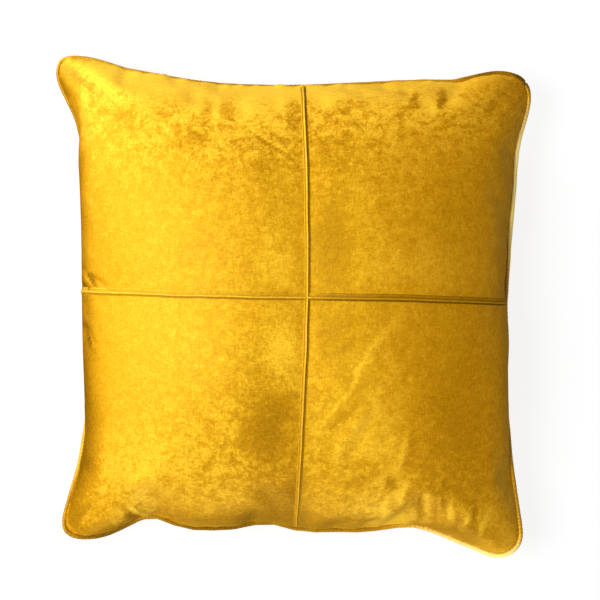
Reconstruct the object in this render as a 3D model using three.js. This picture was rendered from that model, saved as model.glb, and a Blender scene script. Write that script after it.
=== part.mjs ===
// A square scatter cushion in gold velvet, lying on its back with its front up. The front is pieced
// from four quarter panels, and the joins between them stand up as narrow sewn tucks. A velvet piping
// is sewn into the seam all round. Millimetres, +Z up, +X to the cushion's right and +Y to its top.
// The origin is under the cushion's middle, on the surface that it lies on.
import * as THREE from 'three';
import { mergeVertices } from 'three/addons/utils/BufferGeometryUtils.js';

// Driving dimensions
const HALF_COVER = 225; // a 450 mm cover
const SEAM_HEIGHT = 58; // the seam above the surface
const FRONT_CROWN = 70; // the front's rise above the seam
const BACK_CROWN = 66; // the back's fall below the seam, before the surface presses it flat
const SEAM_EDGE = 2.4; // height of the sewn edge between front and back
const PIPING_RADIUS = 2.4;
const TUCK_WIDTH = 3.6;
const TUCK_HEIGHT = 1.9;
const TUCK_LIFT = 0.7; // from the join's line to the underside of its tuck
const GAP = 0.4; // between neighbouring pieces

// Forms of the curves
const CROWN_POWER = 2.4; // the crown's section: 2 is an ellipse, more is fuller
const EAR_POWER = 15; // roundness of the corners: more is sharper
const EAR_FADE = 6; // how soon that rounding fades away from the seam: more is sooner
const HANG_FADE = 3; // how soon an ear's droop fades away from its corner: more is sooner
const DENT_FADE = 12; // how soon a dent in the seam fades into the faces: more is sooner
const BILLOW_PEAK = 0.25; // where a billow is widest: 0 is the seam, 1 the middle of the cushion
const TUCK_SHOULDER = 0.45; // height of a tuck's long edges, as a share of its middle

// Fineness of the faces: cells along each side of the cushion, and sides around the piping
const CELLS = 36;
const PIPING_SIDES = 8;
const SMALL_STEP = 1e-3; // for slopes

// The four corners that the seam's sides aim at before they are rounded, and how far each ear hangs
const CORNERS = [
  { name: 'top left', right: -1, up: 1, x: -243.5, y: 236, hang: 5 },
  { name: 'top right', right: 1, up: 1, x: 216, y: 222, hang: 2 },
  { name: 'bottom left', right: -1, up: -1, x: -229, y: -227, hang: 7 },
  { name: 'bottom right', right: 1, up: -1, x: 217.5, y: -232, hang: 4 },
];

// How far each side is drawn in. Places along a side run from -1 to 1, left to right or bottom to top,
// and a higher flare keeps the side straight for longer before it turns out to the ears.
const SIDES = {
  left: { drawnIn: 41.5, deepestAt: 0, flare: 3.3 },
  right: { drawnIn: 26.5, deepestAt: -0.12, flare: 2.6 },
  bottom: { drawnIn: 24, deepestAt: 0, flare: 1.6 },
  top: { drawnIn: 30, deepestAt: -0.3, flare: 1.6 },
};

// Short dents where the seam is pulled tight, and bulges, with a depth below 0, where an ear is full
const DENTS = [
  { side: 'left', at: -0.9, width: 0.1, depth: -1 },
  { side: 'left', at: 0.67, width: 0.08, depth: 2.5 },
  { side: 'left', at: 0.87, width: 0.06, depth: -3.5 },
  { side: 'right', at: -0.93, width: 0.06, depth: -2 },
  { side: 'right', at: 0.02, width: 0.1, depth: 1.5 },
  { side: 'right', at: 0.66, width: 0.12, depth: 3 },
  { side: 'bottom', at: -0.615, width: 0.125, depth: 16.5 },
  { side: 'bottom', at: -0.13, width: 0.08, depth: 5 },
  { side: 'bottom', at: 0.06, width: 0.09, depth: -2.5 },
  { side: 'bottom', at: 0.51, width: 0.18, depth: 13 },
  { side: 'bottom', at: 0.87, width: 0.08, depth: -4.5 },
  { side: 'top', at: -0.7, width: 0.07, depth: 2 },
  { side: 'top', at: 0.64, width: 0.08, depth: 3 },
  { side: 'top', at: 0.82, width: 0.09, depth: -2.5 },
];

// Stretches where the front billows out over the seam and hides the piping from above
const BILLOWS = [
  { side: 'left', at: 0.07, spread: 0.68, reach: 14.8 },
  { side: 'right', at: -0.3, spread: 0.34, reach: 8 },
];

// The front's two joins. Each stands a little off the cover's own middle line, by the shift at its two
// ends and a bow between them, and its stitching pulls a shallow valley into the crown.
const JOINS = {
  vertical: {
    shift: { atStart: 5.5, atEnd: 11, bow: 3 },
    valley: { atStart: 6.5, atEnd: 2.5, width: 44 },
  },
  horizontal: {
    shift: { atStart: 4, atEnd: 10.5, bow: 1 },
    valley: { atStart: 3, atEnd: 2.5, width: 34 },
  },
};

// Each tuck's run along its join, from the middle of the front, at 0, out to the seam, at -1 and 1
const TUCK_END = 0.945;
const TUCK_CROSSING = 0.008;
const TUCKS = [
  { name: 'tuck_horizontal', join: 'horizontal', from: -TUCK_END, to: TUCK_END, steps: CELLS },
  { name: 'tuck_upper', join: 'vertical', from: TUCK_CROSSING, to: TUCK_END, steps: CELLS / 2 },
  { name: 'tuck_lower', join: 'vertical', from: -TUCK_END, to: -TUCK_CROSSING, steps: CELLS / 2 },
];

const velvet = new THREE.MeshStandardMaterial({ color: '#d9a41a', roughness: 0.55, metalness: 0 });
const pipingVelvet = new THREE.MeshStandardMaterial({ color: '#e6b92c', roughness: 0.5, metalness: 0 });
const tuckVelvet = new THREE.MeshStandardMaterial({ color: '#c98f12', roughness: 0.6, metalness: 0 });

const { lerp } = THREE.MathUtils;
const bell = (distance) => Math.exp(-(distance ** 2));

// How far the cover lies inside the straight line between two corners. Nearness is 1 at the side's
// seam and 0 at the far side's, and dents fade sooner than the draw of the whole side.
function drawIn(side, along, nearness) {
  const { drawnIn, deepestAt, flare } = SIDES[side];
  const span = along < deepestAt ? deepestAt + 1 : 1 - deepestAt;
  const away = Math.abs(along - deepestAt) / span;
  const draw = drawnIn * (1 - away ** flare) * nearness ** 2;
  const ownDents = DENTS.filter((dent) => dent.side === side);
  return ownDents.reduce((sum, { at, width, depth }) => {
    return sum + depth * bell((along - at) / width) * nearness ** DENT_FADE;
  }, draw);
}

// A size that changes evenly from a join's start, at -1, to its end, at 1
function betweenEnds({ atStart, atEnd }, along) {
  return lerp(atStart, atEnd, (1 + along) / 2);
}

// The shift of a join off the cover's middle line, at a place along it
function joinShift({ shift }, along) {
  return betweenEnds(shift, along) + shift.bow * (1 - along * along);
}

// The depth of a join's valley, at a place along it and at a place across it
function joinValley({ valley }, along, across) {
  return betweenEnds(valley, along) * bell((across * HALF_COVER) / valley.width);
}

// A place on the cover, from -1 to 1 each way, with the corners rounded at the seam and not further in
function roundCorners(u, v) {
  const reach = Math.max(Math.abs(u), Math.abs(v));
  const size = (Math.abs(u) ** EAR_POWER + Math.abs(v) ** EAR_POWER) ** (1 / EAR_POWER);
  const rounded = size > 0 ? reach / size : 1;
  const shrink = lerp(1, rounded, reach ** EAR_FADE);
  return [u * shrink, v * shrink];
}

// The point of the cover seen from above, at the height of the seam's own surface
function seamSurface(u, v) {
  const [x, y] = roundCorners(u, v);
  const point = new THREE.Vector3(0, 0, SEAM_HEIGHT);
  for (const corner of CORNERS) {
    const share = ((1 + corner.right * x) / 2) * ((1 + corner.up * y) / 2);
    point.x += share * corner.x;
    point.y += share * corner.y;
    point.z -= share ** HANG_FADE * corner.hang;
  }
  point.x += drawIn('left', y, (1 - x) / 2) - drawIn('right', y, (1 + x) / 2);
  point.y += drawIn('bottom', x, (1 - y) / 2) - drawIn('top', x, (1 + y) / 2);
  point.x += joinShift(JOINS.vertical, y) * (1 - u * u);
  point.y += joinShift(JOINS.horizontal, x) * (1 - v * v);
  return point;
}

// The share of the full crown at a place on the cover: 1 in the middle and 0 at the seam
function crownShare(u, v) {
  const section = (t) => Math.sqrt(Math.max(0, 1 - Math.abs(t) ** CROWN_POWER));
  return section(u) * section(v);
}

// How far the front swells out to the left, below 0, or to the right
function billow(u, v) {
  const place = Math.sqrt(Math.max(0, 1 - u * u)) / BILLOW_PEAK;
  const swell = (place * Math.exp(1 - place)) ** 2;
  return BILLOWS.reduce((sum, { side, at, spread, reach }) => {
    const outward = side === 'left' ? -1 : 1;
    const ownHalf = u * outward > 0 ? 1 : 0;
    return sum + outward * ownHalf * reach * swell * Math.exp(-(((v - at) / spread) ** 4));
  }, 0);
}

function frontPoint(u, v) {
  const point = seamSurface(u, v);
  const valleys = joinValley(JOINS.vertical, v, u) + joinValley(JOINS.horizontal, u, v);
  point.x += billow(u, v);
  point.z += SEAM_EDGE / 2 + (FRONT_CROWN - valleys) * crownShare(u, v);
  return point;
}

// The back falls below the seam until the surface under it presses it flat
function backPoint(u, v) {
  const point = seamSurface(u, v);
  point.z = Math.max(0, point.z - SEAM_EDGE / 2 - BACK_CROWN * crownShare(u, v));
  return point;
}

// Steps that are even in turn crowd towards the seam, where the cover curves most
const fromTurn = (turn) => Math.sin((turn * Math.PI) / 2);

function closedSurface(geometry) {
  geometry.deleteAttribute('normal');
  geometry.deleteAttribute('uv');
  const closed = mergeVertices(geometry);
  closed.computeVertexNormals();
  return closed;
}

// A box whose top becomes the front, whose underside becomes the back, and whose sides become the seam
function cushionGeometry() {
  const geometry = new THREE.BoxGeometry(2, 2, 2, CELLS, CELLS, 1);
  const places = geometry.attributes.position;
  for (let i = 0; i < places.count; i += 1) {
    const u = fromTurn(places.getX(i));
    const v = fromTurn(places.getY(i));
    const point = places.getZ(i) > 0 ? frontPoint(u, v) : backPoint(u, v);
    places.setXYZ(i, point.x, point.y, point.z);
  }
  return closedSurface(geometry);
}

// The piping's middle line runs round the seam, outside the sewn edge. Its steps follow the cover's
// own, close together round the ears and long on the sides.
class PipingLine extends THREE.Curve {
  seamPoint(t) {
    const along = 4 * (t - Math.floor(t));
    const place = fromTurn(2 * (along % 1) - 1);
    const sides = [[place, -1], [1, place], [-place, 1], [-1, -place]];
    return seamSurface(...sides[Math.floor(along)]);
  }

  getPoint(t) {
    const step = SMALL_STEP / CELLS;
    const run = this.seamPoint(t + step).sub(this.seamPoint(t - step));
    const outward = new THREE.Vector3(run.y, -run.x, 0).normalize();
    return this.seamPoint(t).addScaledVector(outward, PIPING_RADIUS + GAP);
  }

  getPointAt(t) {
    return this.getPoint(t);
  }

  getTangentAt(t) {
    return this.getTangent(t);
  }
}

function pipingGeometry() {
  const steps = 4 * CELLS;
  return closedSurface(
    new THREE.TubeGeometry(new PipingLine(), steps, PIPING_RADIUS, PIPING_SIDES, true),
  );
}

// The front's own directions at a place: along the join, across it, and out of the face
function frontDirections(u, v, join) {
  const alongU = frontPoint(u + SMALL_STEP, v).sub(frontPoint(u - SMALL_STEP, v));
  const alongV = frontPoint(u, v + SMALL_STEP).sub(frontPoint(u, v - SMALL_STEP));
  const out = alongU.clone().cross(alongV).normalize();
  const along = (join === 'horizontal' ? alongU : alongV).normalize();
  return { out, across: out.clone().cross(along) };
}

// A narrow fold that stands on the front along its join, rounded over the top
function tuckGeometry({ join, from, to, steps }) {
  const geometry = new THREE.BoxGeometry(1, 1, 1, steps, 2, 1);
  const places = geometry.attributes.position;
  for (let i = 0; i < places.count; i += 1) {
    const along = fromTurn(lerp(from, to, places.getX(i) + 0.5));
    const [u, v] = join === 'horizontal' ? [along, 0] : [0, along];
    const { out, across } = frontDirections(u, v, join);
    const offMiddle = places.getY(i);
    const height = TUCK_HEIGHT * (offMiddle === 0 ? 1 : TUCK_SHOULDER);
    const up = TUCK_LIFT + (places.getZ(i) > 0 ? height : 0);
    const point = frontPoint(u, v);
    point.addScaledVector(across, offMiddle * TUCK_WIDTH).addScaledVector(out, up);
    places.setXYZ(i, point.x, point.y, point.z);
  }
  return closedSurface(geometry);
}

function piece(name, geometry, material) {
  const mesh = new THREE.Mesh(geometry, material);
  mesh.name = name;
  return mesh;
}

const cushion = new THREE.Group();
cushion.add(piece('cushion', cushionGeometry(), velvet));
cushion.add(piece('piping', pipingGeometry(), pipingVelvet));
for (const tuck of TUCKS) {
  cushion.add(piece(tuck.name, tuckGeometry(tuck), tuckVelvet));
}

// Centre the whole on the origin, seen from above
const middle = new THREE.Box3().setFromObject(cushion).getCenter(new THREE.Vector3());
cushion.position.set(-middle.x, -middle.y, 0);

const model = new THREE.Group();
model.add(cushion);

export default model;
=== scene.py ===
# %% [markdown]
# A scatter cushion in gold velvet, lying on its back with its front up.
# The front is sewn from four quarter panels, whose joins stand up as narrow tucks in a cross, and a velvet
# piping is sewn into the seam all round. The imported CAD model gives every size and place. This lesson
# makes the soft pieces that stand for its solids: a filled cover, the piping, the tucks and their stitches.

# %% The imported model
import math

import bpy
import numpy as np
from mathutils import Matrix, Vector, noise
from mathutils.bvhtree import BVHTree
from mathutils.kdtree import KDTree


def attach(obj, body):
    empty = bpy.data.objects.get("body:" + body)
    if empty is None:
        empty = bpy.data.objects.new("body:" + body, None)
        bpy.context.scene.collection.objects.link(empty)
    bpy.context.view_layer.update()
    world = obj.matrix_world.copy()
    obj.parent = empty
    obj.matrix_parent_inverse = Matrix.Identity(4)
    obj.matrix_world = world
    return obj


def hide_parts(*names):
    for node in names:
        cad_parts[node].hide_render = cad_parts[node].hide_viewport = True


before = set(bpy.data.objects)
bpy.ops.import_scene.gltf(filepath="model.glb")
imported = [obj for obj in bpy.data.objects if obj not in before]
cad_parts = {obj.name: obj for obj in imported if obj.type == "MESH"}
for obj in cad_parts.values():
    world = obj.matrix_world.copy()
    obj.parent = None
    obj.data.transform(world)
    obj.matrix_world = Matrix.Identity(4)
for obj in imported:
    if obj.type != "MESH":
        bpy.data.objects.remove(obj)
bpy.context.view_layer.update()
# One millimetre, in metres.
MM = 0.001
print("packed nodes:", sorted(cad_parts))

# %% [markdown]
# The script thinks in millimetres, because that is how a cushion maker measures, and Blender's objects are
# in metres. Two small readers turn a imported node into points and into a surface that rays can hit, and one
# small maker turns points and faces into an object at the origin, so only these know about metres.


# %% Readers and a maker, in millimetres
def points_of(node):
    """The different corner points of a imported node."""
    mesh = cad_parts[node].data
    flat = np.empty(len(mesh.vertices) * 3)
    mesh.vertices.foreach_get("co", flat)
    return np.unique((flat.reshape(-1, 3) / MM).round(3), axis=0)


def surface_of(mesh):
    """A mesh as a surface that rays and nearest-point questions can be put to."""
    corners = [vertex.co / MM for vertex in mesh.vertices]
    return BVHTree.FromPolygons(corners, [face.vertices[:] for face in mesh.polygons])


def mesh_object(name, points, faces):
    """A new smooth-shaded mesh object."""
    mesh = bpy.data.meshes.new(name)
    mesh.from_pydata((np.asarray(points) * MM).tolist(), [], faces)
    mesh.shade_smooth()
    made = bpy.data.objects.new(name, mesh)
    bpy.context.scene.collection.objects.link(made)
    return made


def keep_on_points(mesh, name, values):
    """Stores a number for each point of a mesh, where its material can read it."""
    mesh.attributes.new(name, "FLOAT", "POINT").data.foreach_set("value", values)


CUSHION_SURFACE = surface_of(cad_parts["cushion"].data)
PIPING_SURFACE = surface_of(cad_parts["piping"].data)
print("cushion points:", len(points_of("cushion")), "piping points:", len(points_of("piping")))

# %% [markdown]
# Everything on this cushion hangs on its seam, the line where front and back are sewn together with the
# piping between them. The seam could be typed in again as points, but then it might drift from the CAD.
# It is measured instead: rays go out from the middle of the cushion, and the seam is halfway between the
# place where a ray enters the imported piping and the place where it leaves.

# %% The seam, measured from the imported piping
SEAM_STATIONS = 1440
# How many places on each side the running means take in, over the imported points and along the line.
POINT_BLUR = 12
LINE_BLUR = 8
# How far past the near wall of the piping a ray starts again, to find the far wall.
WALL_STEP = 0.1


def around(values, width):
    """A running mean along a closed line."""
    wrapped = np.concatenate([values[-width:], values, values[:width]])
    kernel = np.ones(2 * width + 1) / (2 * width + 1)
    return np.convolve(wrapped, kernel, mode="valid")


def seam_line(stations, blur):
    """The middle of the piping at evenly spaced bearings."""
    points = points_of("piping")
    bearings = np.arctan2(points[:, 1], points[:, 0])
    order = np.argsort(bearings)
    heights = around(points[order, 2], blur)
    line = []
    for bearing in np.linspace(-math.pi, math.pi, stations, endpoint=False):
        height = np.interp(bearing, bearings[order], heights, period=2 * math.pi)
        way = Vector((math.cos(bearing), math.sin(bearing), 0))
        entry = PIPING_SURFACE.ray_cast(Vector((0, 0, height)), way)[0]
        leave = PIPING_SURFACE.ray_cast(entry + way * WALL_STEP, way)[0]
        line.append((entry + leave) / 2)
    return np.array(line)


SEAM = seam_line(SEAM_STATIONS, POINT_BLUR)
SEAM[:, 2] = around(SEAM[:, 2], LINE_BLUR)
SEAM_HEIGHT = SEAM[:, 2].mean()
seam_length = np.linalg.norm(np.roll(SEAM, -1, 0) - SEAM, axis=1).sum()
print("seam: %.0f mm round, at a height of %.1f mm" % (seam_length, SEAM_HEIGHT))

# %% [markdown]
# The tucks run along the joins of the quarter panels. A cubic through the plan of each packed tuck gives
# a smooth line, and where that line reaches the seam, the seam is cut into half sides. The corners of the
# cover, its ears, are the points of the seam furthest out along the diagonals.

# %% The joins of the panels and the ears
# A join reaches the seam further out than this from the middle.
SIDE_START = 100
CROSSING_ROUNDS = 5


def plan_fit(nodes, along):
    """A cubic for the other plan coordinate of some tucks, along x (0) or y (1)."""
    points = np.vstack([points_of(node) for node in nodes])
    return np.polynomial.Polynomial.fit(points[:, along], points[:, 1 - along], 3)


ACROSS = plan_fit(["tuck_horizontal"], 0)
UPWARD = plan_fit(["tuck_upper", "tuck_lower"], 1)
# Each round brings the crossing nearer to both lines.
crossing = np.zeros(2)
for _ in range(CROSSING_ROUNDS):
    crossing = np.array([UPWARD(crossing[1]), ACROSS(crossing[0])])


def seam_index(score):
    """The place on the seam with the highest score."""
    return int(np.argmax(score))


def seam_join(off_line, on_side):
    """The place on one side of the seam where a join's line reaches it."""
    return seam_index(np.where(on_side, -np.abs(off_line), -np.inf))


off_across = SEAM[:, 1] - ACROSS(SEAM[:, 0])
off_upward = SEAM[:, 0] - UPWARD(SEAM[:, 1])
PLACES = {
    "left": seam_join(off_across, SEAM[:, 0] < -SIDE_START),
    "right": seam_join(off_across, SEAM[:, 0] > SIDE_START),
    "bottom": seam_join(off_upward, SEAM[:, 1] < -SIDE_START),
    "top": seam_join(off_upward, SEAM[:, 1] > SIDE_START),
    "left bottom": seam_index(-SEAM[:, 0] - SEAM[:, 1]),
    "right bottom": seam_index(SEAM[:, 0] - SEAM[:, 1]),
    "right top": seam_index(SEAM[:, 0] + SEAM[:, 1]),
    "left top": seam_index(SEAM[:, 1] - SEAM[:, 0]),
}
for place, index in PLACES.items():
    print("%-12s" % place, SEAM[index].round(1))
print("joins cross at", crossing.round(1))

# %% [markdown]
# The cover starts as a net, like the warp and weft of the cloth itself: one patch for each quarter panel,
# with the joins and the seam as its borders. A net is better than a remeshed lump here, because its lines
# run with the cloth, so the simulation wrinkles it as cloth does. Each knot of the net is carried onto the
# packed cushion by a ray from the inside, and then the knots are shared out evenly along their threads.

# %% Lines of the net
# Cells along each side of a quarter panel, and how many steps a cell has while a join is laid.
CELLS = 48
FINE_STEPS = 4
# The cover is sewn in this far inside the middle of the piping.
HEM = 1.2
# How high above the seam the middle of a join starts, before it is carried onto the cushion.
LOFT = 90.0
# The direction of the seam is taken over this many stations on each side.
SEAM_REACH = 3


def evenly(line, count):
    """A line of points shared out again at even distances."""
    steps = np.linalg.norm(np.diff(line, axis=0), axis=1)
    travel = np.concatenate([[0], np.cumsum(steps)])
    stops = np.linspace(0, travel[-1], count)
    return np.stack([np.interp(stops, travel, line[:, axis]) for axis in range(3)], axis=1)


def hem_line():
    """The border of the cover, which is sewn in just inside the middle of the piping."""
    ahead = np.roll(SEAM, -SEAM_REACH, 0) - np.roll(SEAM, SEAM_REACH, 0)
    inward = np.stack([-ahead[:, 1], ahead[:, 0], np.zeros(len(SEAM))], axis=1)
    return SEAM + HEM * inward / np.linalg.norm(inward, axis=1, keepdims=True)


HEM_LINE = hem_line()


def hem_between(first, last):
    """The hem from one place to the next, going the short way."""
    size = len(HEM_LINE)
    start, stop = PLACES[first], PLACES[last]
    forward = (stop - start) % size
    steps = forward if forward <= size - forward else forward - size
    walk = np.arange(0, steps + np.sign(steps), np.sign(steps)) + start
    return evenly(HEM_LINE[walk % size], CELLS + 1)


def onto_cushion(points):
    """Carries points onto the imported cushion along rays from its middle."""
    middle = Vector((*crossing, SEAM_HEIGHT))
    carried = []
    for point in points.reshape(-1, 3):
        hit = CUSHION_SURFACE.ray_cast(middle, Vector(point) - middle)[0]
        carried.append(hit if hit else point)
    return np.array(carried).reshape(points.shape)


def join_line(place, side):
    """A join from the crossing to the seam, on the front (side 1) or its like on the back (side -1)."""
    end = HEM_LINE[PLACES[place]]
    share = np.linspace(0, 1, FINE_STEPS * CELLS + 1)
    if place in ("left", "right"):
        x = crossing[0] + share * (end[0] - crossing[0])
        y = ACROSS(x)
    else:
        y = crossing[1] + share * (end[1] - crossing[1])
        x = UPWARD(y)
    z = SEAM_HEIGHT + (end[2] - SEAM_HEIGHT) * share + side * LOFT * np.sqrt(1 - share**2)
    line = onto_cushion(np.stack([x, y, z], axis=1))
    line[-1] = end
    return evenly(line, CELLS + 1)


print("hem of the cover:", len(HEM_LINE), "points,", HEM, "mm inside the piping's middle")

# %% Quarter patches of the net
# How often the knots are shared out along their threads and carried back onto the cushion.
EVEN_ROUNDS = 4


def quarter(across_place, upward_place, side):
    """The net of one quarter panel: rows go outwards along x, columns outwards along y."""
    corner = across_place + " " + upward_place
    inner_row = join_line(across_place, side)
    inner_column = join_line(upward_place, side)
    outer_row = hem_between(upward_place, corner)
    outer_column = hem_between(across_place, corner)
    share = np.linspace(0, 1, CELLS + 1)
    s, t = share[None, :, None], share[:, None, None]
    net = (1 - t) * inner_row[None] + t * outer_row[None]
    net = net + (1 - s) * inner_column[:, None] + s * outer_column[:, None]
    net = net - (1 - s) * (1 - t) * inner_row[0] - s * (1 - t) * inner_row[-1]
    net = net - (1 - s) * t * outer_row[0] - s * t * outer_row[-1]
    net[1:-1, 1:-1] = onto_cushion(net[1:-1, 1:-1])
    for _ in range(EVEN_ROUNDS):
        for k in range(1, CELLS):
            net[k] = evenly(net[k], CELLS + 1)
        for k in range(1, CELLS):
            net[:, k] = evenly(net[:, k], CELLS + 1)
        net[1:-1, 1:-1] = onto_cushion(net[1:-1, 1:-1])
    return net


def panel(side):
    """Four quarters laid together as one net, from the left bottom ear to the right top one."""
    halves = []
    for upward_place in ("bottom", "top"):
        left = quarter("left", upward_place, side)[:, ::-1]
        right = quarter("right", upward_place, side)
        halves.append(np.concatenate([left, right[:, 1:]], axis=1))
    return np.concatenate([halves[0][::-1], halves[1][1:]], axis=0)


FRONT = panel(1)
BACK = panel(-1)
KNOTS = 2 * CELLS + 1
row_length = np.linalg.norm(np.diff(FRONT, axis=1), axis=2).sum(1)
column_length = np.linalg.norm(np.diff(FRONT, axis=0), axis=2).sum(0)
print("front threads: rows %.0f to %.0f mm," % (row_length.min(), row_length.max()),
      "columns %.0f to %.0f mm" % (column_length.min(), column_length.max()))


# %% The cover as one closed mesh
def cover_faces():
    """Faces of the front and the back, which share the knots of the hem."""
    grid = np.arange(KNOTS * KNOTS).reshape(KNOTS, KNOTS)
    back_grid = grid.copy()
    back_grid[1:-1, 1:-1] = KNOTS * KNOTS + np.arange((KNOTS - 2) ** 2).reshape(KNOTS - 2, KNOTS - 2)
    faces = []
    for ids, order in ((grid, (0, 1, 2, 3)), (back_grid, (3, 2, 1, 0))):
        rings = np.stack([ids[:-1, :-1], ids[:-1, 1:], ids[1:, 1:], ids[1:, :-1]], axis=-1)
        faces += rings.reshape(-1, 4)[:, order].tolist()
    return faces


COVER_POINTS = np.concatenate([FRONT.reshape(-1, 3), BACK[1:-1, 1:-1].reshape(-1, 3)])
COVER_FACES = cover_faces()
cover = mesh_object("cushion_cover", COVER_POINTS, COVER_FACES)
print("cover net:", len(COVER_POINTS), "knots,", len(COVER_FACES), "cells")

# %% [markdown]
# A filled cover takes its shape from its cloth: panels are cut a little large, eased onto the shorter seam
# and pushed out by the filling until they pull on their stitches, which leaves soft puckers along the seam.
# The puckers could be modelled by hand, but cloth finds them by itself, so Blender's cloth simulation does
# it: the sewn lines are pinned, pressure stands for the filling, and a negative shrink along the seam is
# the ease, most of it along the bottom, and none at the joins, which lie flat.

# %% Ease and pins
PANEL_HALF = 225.0
# The most ease on each side, from 0 to 1, and how far in from the seam it reaches.
SIDE_EASE = {"left": 0.3, "right": 0.35, "bottom": 1.0, "top": 0.3}
EASE_DEPTH = 50.0
# The ease is uneven: the number of spots along a side, and the least that a spot gets.
EASE_SPOTS = 14
LEAST_EASE = 0.35
EASE_SEED = 5
# It fades between these shares of a half side towards an ear, and between these distances from a join.
EAR_FADE = (0.72, 0.92)
JOIN_FADE = (6, 30)
# Knots of the back that lie lower than this rest on the floor.
REST_HEIGHT = 0.5


def smooth_step(value, low, high):
    """Rises smoothly from 0 at low to 1 at high."""
    share = np.clip((value - low) / (high - low), 0, 1)
    return share * share * (3 - 2 * share)


def ease_map():
    """How loose each knot is, from 0 to 1: uneven along the seam, none at the ears and the joins."""
    line = np.linspace(-1, 1, KNOTS)
    u, v = np.meshgrid(line, line)
    outward = {"left": (-u, v), "right": (u, v), "bottom": (-v, u), "top": (v, u)}
    draw = np.random.default_rng(EASE_SEED)
    loose = np.zeros_like(u)
    for side, most in SIDE_EASE.items():
        out, along = outward[side]
        spots = draw.uniform(LEAST_EASE, 1, EASE_SPOTS)
        uneven = np.interp(along, np.linspace(-1, 1, EASE_SPOTS), spots)
        near_seam = np.exp(-(((1 - out) * PANEL_HALF / EASE_DEPTH) ** 2))
        off_ears = 1 - smooth_step(np.abs(along), *EAR_FADE)
        loose = np.maximum(loose, most * uneven * near_seam * off_ears)
    off_joins = smooth_step(np.abs(u) * PANEL_HALF, *JOIN_FADE)
    off_joins = off_joins * smooth_step(np.abs(v) * PANEL_HALF, *JOIN_FADE)
    loose = loose * off_joins
    return np.concatenate([loose.reshape(-1), loose[1:-1, 1:-1].reshape(-1)])


def sewn_knots():
    """The knots that are held: on the hem, along the joins of the front, and where the back rests."""
    held = np.zeros((KNOTS, KNOTS), dtype=bool)
    held[[0, CELLS, -1]] = True
    held[:, [0, CELLS, -1]] = True
    resting = BACK[1:-1, 1:-1, 2] < REST_HEIGHT
    return np.flatnonzero(np.concatenate([held.reshape(-1), resting.reshape(-1)]))


print("held knots:", len(sewn_knots()), "of", len(COVER_POINTS))

# %% Filling the cover
FILL_FRAMES = 24
FILL_PRESSURE = 20.0
# No knot moves further than this, and a smaller move than the least counts as the least.
FILL_REACH = 12.0
LEAST_MOVE = 1e-6
# The share by which the loosest cloth is larger than the net.
MOST_EASE = 0.04


def cloth_of(cover):
    """Gives the cover its cloth modifier: velvet is heavy and bends in wide, soft folds."""
    pins = cover.vertex_groups.new(name="stitched")
    pins.add(sewn_knots().tolist(), 1.0, "REPLACE")
    firm = cover.vertex_groups.new(name="firm")
    for knot, loose in enumerate(ease_map()):
        firm.add([knot], 1 - loose, "REPLACE")
    cloth = cover.modifiers.new("filling", "CLOTH")
    cloth.settings.quality = 5
    cloth.settings.mass = 0.02
    cloth.settings.bending_stiffness = 20.0
    cloth.settings.vertex_group_mass = pins.name
    cloth.settings.vertex_group_shrink = firm.name
    cloth.settings.shrink_min = -MOST_EASE
    cloth.settings.shrink_max = 0.0
    cloth.settings.use_pressure = True
    cloth.settings.uniform_pressure_force = FILL_PRESSURE
    cloth.settings.effector_weights.gravity = 0
    cloth.collision_settings.use_collision = False
    cloth.point_cache.frame_start = 1
    cloth.point_cache.frame_end = FILL_FRAMES
    return cloth


def points_in(mesh):
    """All points of a mesh, in millimetres."""
    flat = np.empty(len(mesh.vertices) * 3)
    mesh.vertices.foreach_get("co", flat)
    return flat.reshape(-1, 3) / MM


def fill(cover):
    """Runs the cloth and returns where the knots come to, within their reach and above the floor."""
    cloth = cloth_of(cover)
    for number in range(1, FILL_FRAMES + 1):
        bpy.context.scene.frame_set(number)
    move = points_in(cover.evaluated_get(bpy.context.evaluated_depsgraph_get()).data) - COVER_POINTS
    bpy.context.scene.frame_set(1)
    cover.modifiers.remove(cloth)
    cover.vertex_groups.clear()
    size = np.linalg.norm(move, axis=1, keepdims=True)
    print("cloth moved %.1f mm on average, %.1f mm at most" % (size.mean(), size.max()))
    filled = COVER_POINTS + move * np.minimum(1, FILL_REACH / np.maximum(size, LEAST_MOVE))
    filled[:, 2] = np.maximum(filled[:, 2], 0)
    return filled


def set_points(mesh, points):
    """Moves all points of a mesh."""
    mesh.vertices.foreach_set("co", (points * MM).ravel())
    mesh.update()


set_points(cover.data, fill(cover))

# %% [markdown]
# The simulation gives the general run of the puckers. A few creases of this very cushion are placed on top:
# the pinch where the left end of the horizontal join pulls on the seam, a pressed line near the top, long
# soft folds that lean across the lower right panel, short grooves along its lower edge, and a fold beside the
# lower left ear. The net is subdivided first, so that a crease has enough points to round over.

# %% Subdivision
rounding = cover.modifiers.new("rounding", "SUBSURF")
rounding.levels = rounding.render_levels = 1
rounded = bpy.data.meshes.new_from_object(cover.evaluated_get(bpy.context.evaluated_depsgraph_get()))
cover.modifiers.remove(rounding)
cover.data = rounded
cover.data.name = "cushion_cover"
cover.data.shade_smooth()
print("cover after subdivision:", len(rounded.vertices), "points")

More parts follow.
